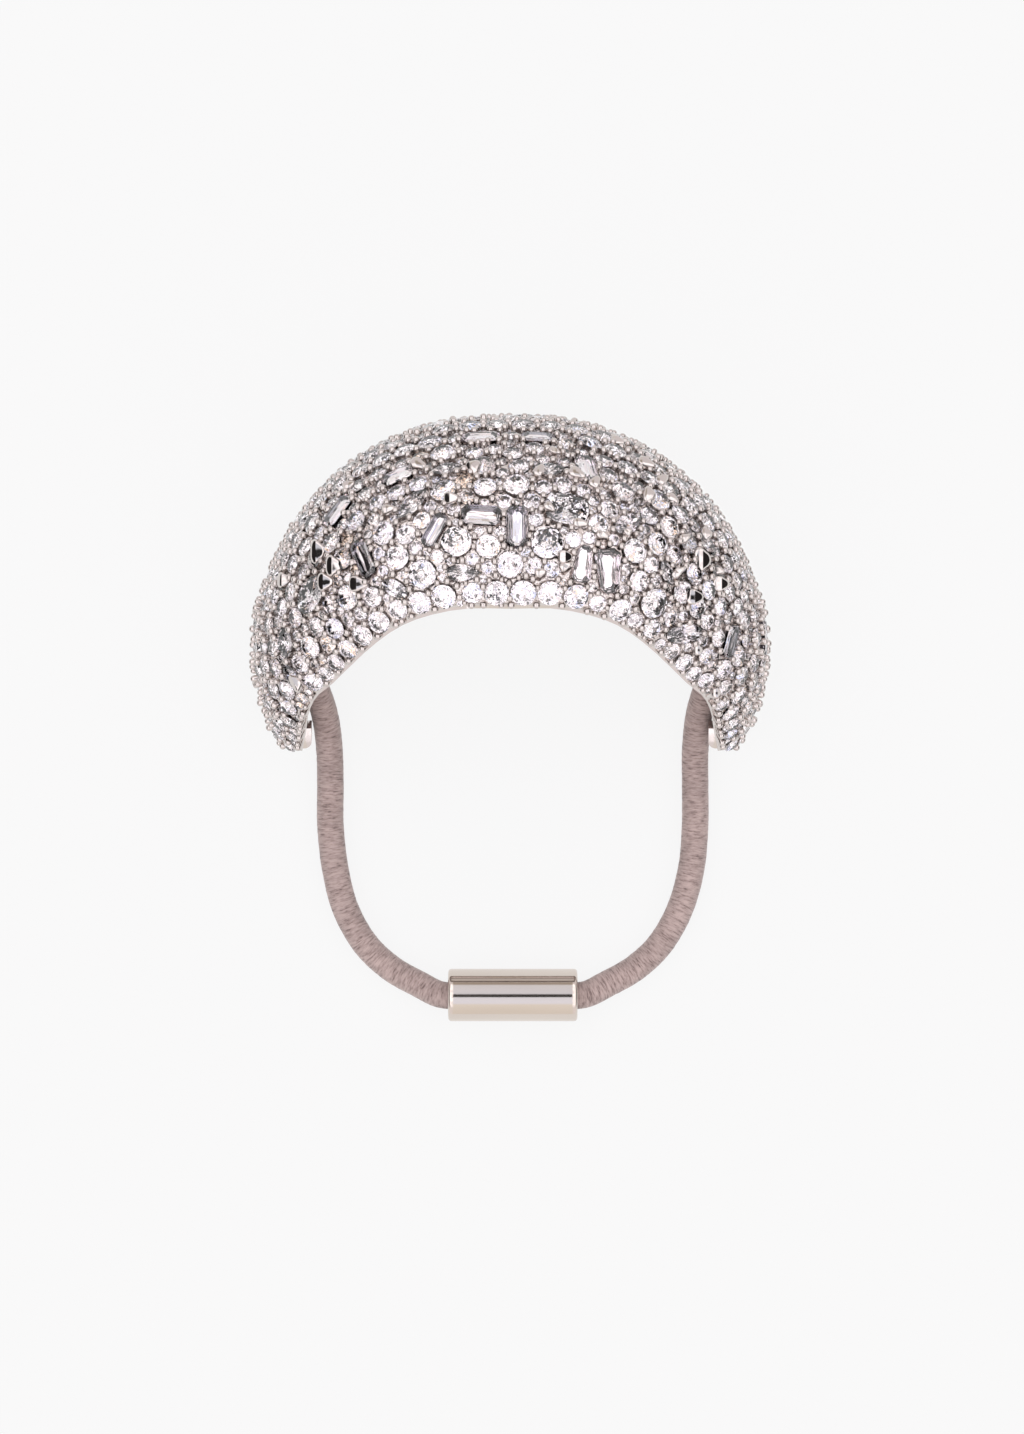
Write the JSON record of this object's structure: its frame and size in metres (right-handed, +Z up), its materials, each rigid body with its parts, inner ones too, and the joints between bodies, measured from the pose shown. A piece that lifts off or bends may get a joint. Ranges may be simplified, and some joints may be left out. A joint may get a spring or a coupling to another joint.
{
  "type": "ponytail cuff",
  "caption": "Hollow crescent dome of polished metal set all over with clear stones in mixed cuts, on a round elastic loop joined by a polished metal barrel.",
  "frame": {"origin": "middle of the box round the cuff and the barrel, at the surface that the part lies on", "axes": "+Z up from that surface, +Y from the barrel to the crown of the dome, +X to the right with the barrel nearest"},
  "size_m": [0.0554, 0.0653, 0.0302],
  "materials": {
    "cuff_metal": "polished rhodium plating",
    "barrel_metal": "polished plating",
    "clear_stones": "polished facets with a mirror-like back",
    "elastic_knit": "matte fine knit"
  },
  "bodies": {
    "root": {"cuff_shell": "cuff_metal", "elastic_cord": "elastic_knit", "barrel": "barrel_metal", "small_stone_field": "clear_stones", "far_stones": "clear_stones", "stone_01_baguette": "clear_stones", "stone_02_marquise": "clear_stones", "stone_03_baguette": "clear_stones", "stone_04_baguette": "clear_stones", "stone_05_round": "clear_stones", "stone_06_round": "clear_stones", "stone_07_round": "clear_stones", "stone_08_round": "clear_stones", "stone_09_round": "clear_stones", "stone_10_round": "clear_stones", "stone_11_round": "clear_stones", "stone_12_round": "clear_stones", "stone_13_pear": "clear_stones", "stone_14_oval": "clear_stones", "stone_15_baguette": "clear_stones", "stone_16_oval": "clear_stones", "stone_17_oval": "clear_stones", "stone_18_marquise": "clear_stones", "stone_19_baguette": "clear_stones", "stone_20_marquise": "clear_stones", "stone_21_baguette": "clear_stones", "stone_22_round": "clear_stones", "stone_23_round": "clear_stones", "stone_24_round": "clear_stones", "stone_25_round": "clear_stones", "stone_26_round": "clear_stones", "stone_27_round": "clear_stones", "stone_28_marquise": "clear_stones", "stone_29_cushion": "clear_stones", "stone_30_baguette": "clear_stones", "stone_31_oval": "clear_stones", "stone_32_baguette": "clear_stones", "stone_33_tapered": "clear_stones", "stone_34_tapered": "clear_stones", "stone_35_oval": "clear_stones", "stone_36_marquise": "clear_stones", "stone_37_baguette": "clear_stones", "stone_38_oval": "clear_stones", "stone_39_baguette": "clear_stones", "stone_40_baguette": "clear_stones"}
  },
  "joints": []
}
